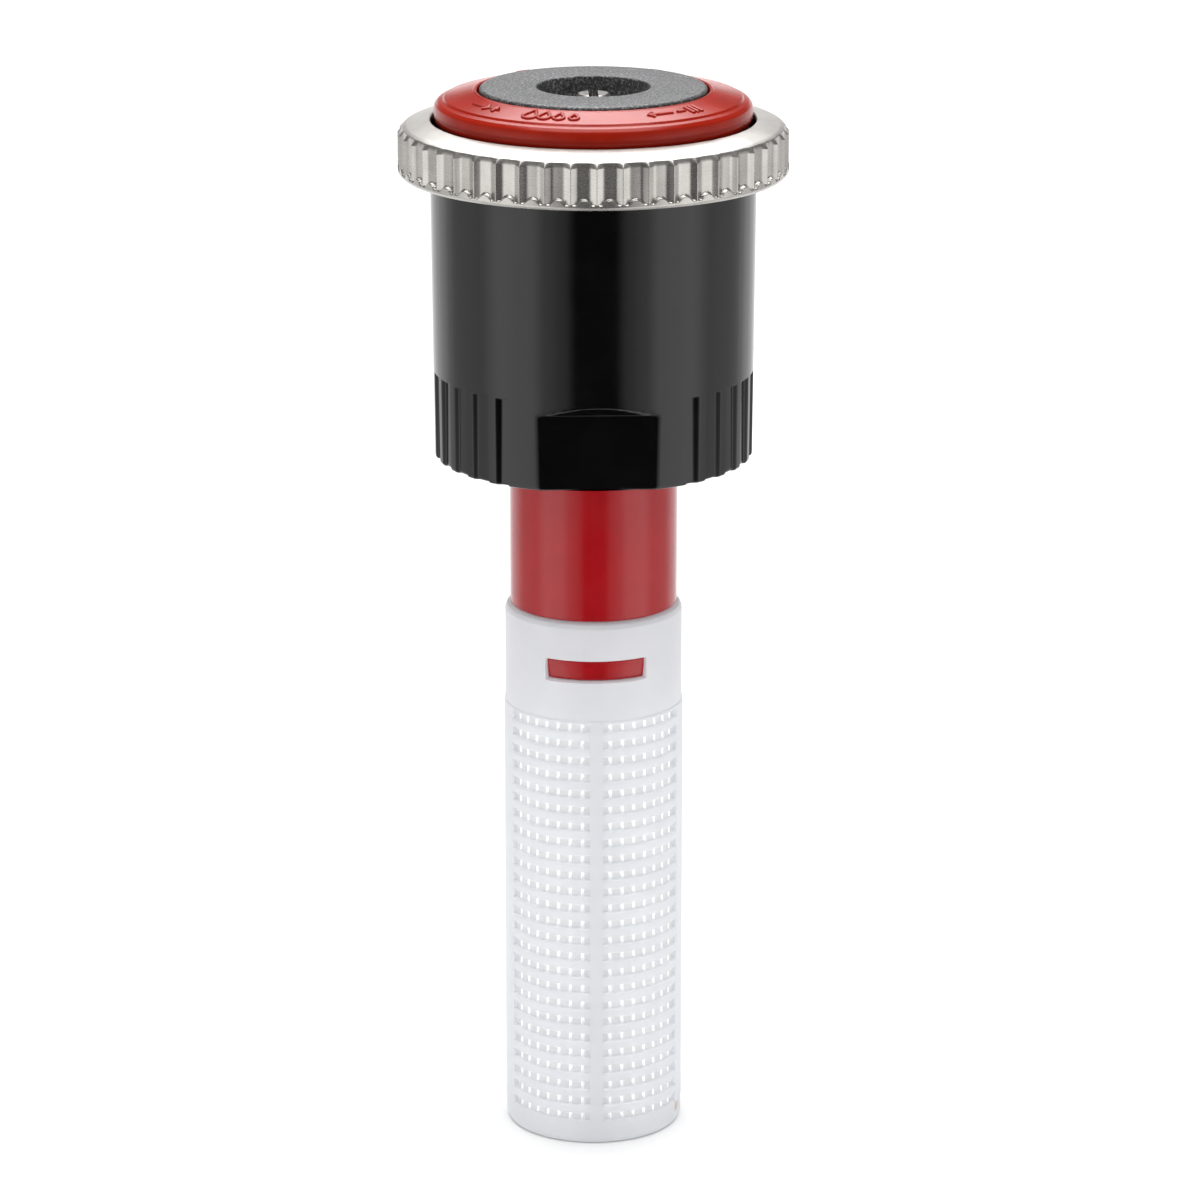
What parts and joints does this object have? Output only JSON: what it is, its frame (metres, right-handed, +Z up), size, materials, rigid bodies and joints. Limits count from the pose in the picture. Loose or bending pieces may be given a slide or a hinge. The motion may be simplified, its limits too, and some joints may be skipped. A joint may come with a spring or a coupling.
{
  "type": "rotary sprinkler nozzle",
  "caption": "Multi-stream rotary nozzle for a pop-up sprinkler: fluted grip ring, turning stream head that lifts, keyed throttle, threaded body and clip-on filter screen.",
  "frame": {"origin": "middle of the filter's foot, on the nozzle's axis", "axes": "+Z up along the nozzle's axis to the cap, -Y towards the front wrench flat and catch window"},
  "size_m": [0.0283, 0.0282, 0.0792],
  "materials": {
    "black_plastic": "glossy moulded black",
    "red_plastic": "semi-gloss moulded red",
    "grey_plastic": "fine speckled texture",
    "white_plastic": "translucent moulded white",
    "natural_plastic": "satin acetal",
    "stainless": "bright pressed stainless",
    "spring_steel": "drawn wire",
    "bronze": "sintered bush",
    "seal_rubber": "moulded rubber"
  },
  "bodies": {
    "base": {"nozzle_body": "black_plastic", "stem": "red_plastic", "stem_seal": "seal_rubber", "riser_washer": "seal_rubber", "nozzle_insert": "black_plastic", "shaft_guide": "natural_plastic", "throttle_seat": "natural_plastic", "filter_screen": "white_plastic"},
    "ring": {"ring_carrier": "black_plastic", "grip_ring": "stainless"},
    "lift": {"lift_sleeve": "natural_plastic", "lift_spring": "spring_steel"},
    "throttle": {"throttle_nut": "natural_plastic"},
    "shaft": {"adjusting_shaft": "stainless", "upper_clip": "spring_steel", "lower_clip": "spring_steel", "damper_stator": "natural_plastic"},
    "rotor": {"rotor_plate": "red_plastic", "rotor_cap": "grey_plastic", "damper_retainer": "natural_plastic", "upper_bearing": "bronze", "lower_bearing": "bronze", "upper_seal": "seal_rubber", "lower_seal": "seal_rubber", "chamber_seal": "seal_rubber"}
  },
  "joints": [
    {"name": "ring_turn", "type": "hinge", "parent": "base", "child": "ring", "pos_m": [0, 0, 0.0747], "axis": [0, 0, 1], "continuous": true},
    {"name": "head_lift", "type": "slide", "parent": "base", "child": "lift", "axis": [0, 0, 1], "range_m": [0, 0.0045], "stiffness_N_per_m": 600, "springref_m": -0.003, "deforming": ["lift_spring"]},
    {"name": "reach_turn", "type": "hinge", "parent": "lift", "child": "shaft", "pos_m": [0, 0, 0.06], "axis": [0, 0, 1], "range_deg": [0, 720]},
    {"name": "throttle_slide", "type": "slide", "parent": "lift", "child": "throttle", "axis": [0, 0, 1], "range_m": [0, 0.0016]},
    {"name": "rotor_spin", "type": "hinge", "parent": "shaft", "child": "rotor", "pos_m": [0, 0, 0.075], "axis": [0, 0, 1], "continuous": true}
  ],
  "couplings": [
    {"joint": "reach_turn", "follows": "throttle_slide", "rad_per_m": 7854}
  ]
}
